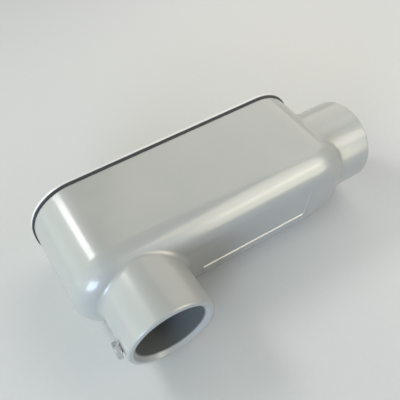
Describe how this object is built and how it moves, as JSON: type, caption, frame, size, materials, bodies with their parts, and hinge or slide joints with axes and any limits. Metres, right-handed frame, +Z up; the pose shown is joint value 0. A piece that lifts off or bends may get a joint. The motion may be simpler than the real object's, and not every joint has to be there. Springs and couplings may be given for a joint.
{
  "type": "conduit body",
  "caption": "Right-angle electrical conduit body with a removable gasketed cover and set-screw hubs, outlet hub at the back.",
  "frame": {"origin": "on the outlet hub's axis, at the shoulder inside it that stops the conduit", "axes": "+X along the body from the heel to the straight hub, -Y out of the outlet hub, +Y towards the cover, +Z up with the body lying on a flat side"},
  "size_m": [0.1932, 0.0952, 0.059],
  "materials": {
    "casting_enamel": "grey gloss baked enamel over die-cast aluminium",
    "cover_enamel": "grey gloss baked enamel over aluminium plate",
    "gasket_rubber": "matt black",
    "zinc_plate": "bright zinc plate"
  },
  "bodies": {
    "body": {"casting": "casting_enamel", "gasket": "gasket_rubber", "cover_plate": "cover_enamel", "cover_screw_heel": "zinc_plate", "cover_screw_toe": "zinc_plate"},
    "outlet_clamp": {"set_screw_outlet": "zinc_plate"},
    "straight_clamp": {"set_screw_straight": "zinc_plate"}
  },
  "joints": [
    {"name": "outlet_screw", "type": "slide", "parent": "body", "child": "outlet_clamp", "axis": [-1, 0, 0], "range_m": [-0.0005, 0.004]},
    {"name": "straight_screw", "type": "slide", "parent": "body", "child": "straight_clamp", "axis": [0, 1, 0], "range_m": [-0.0005, 0.004]}
  ]
}
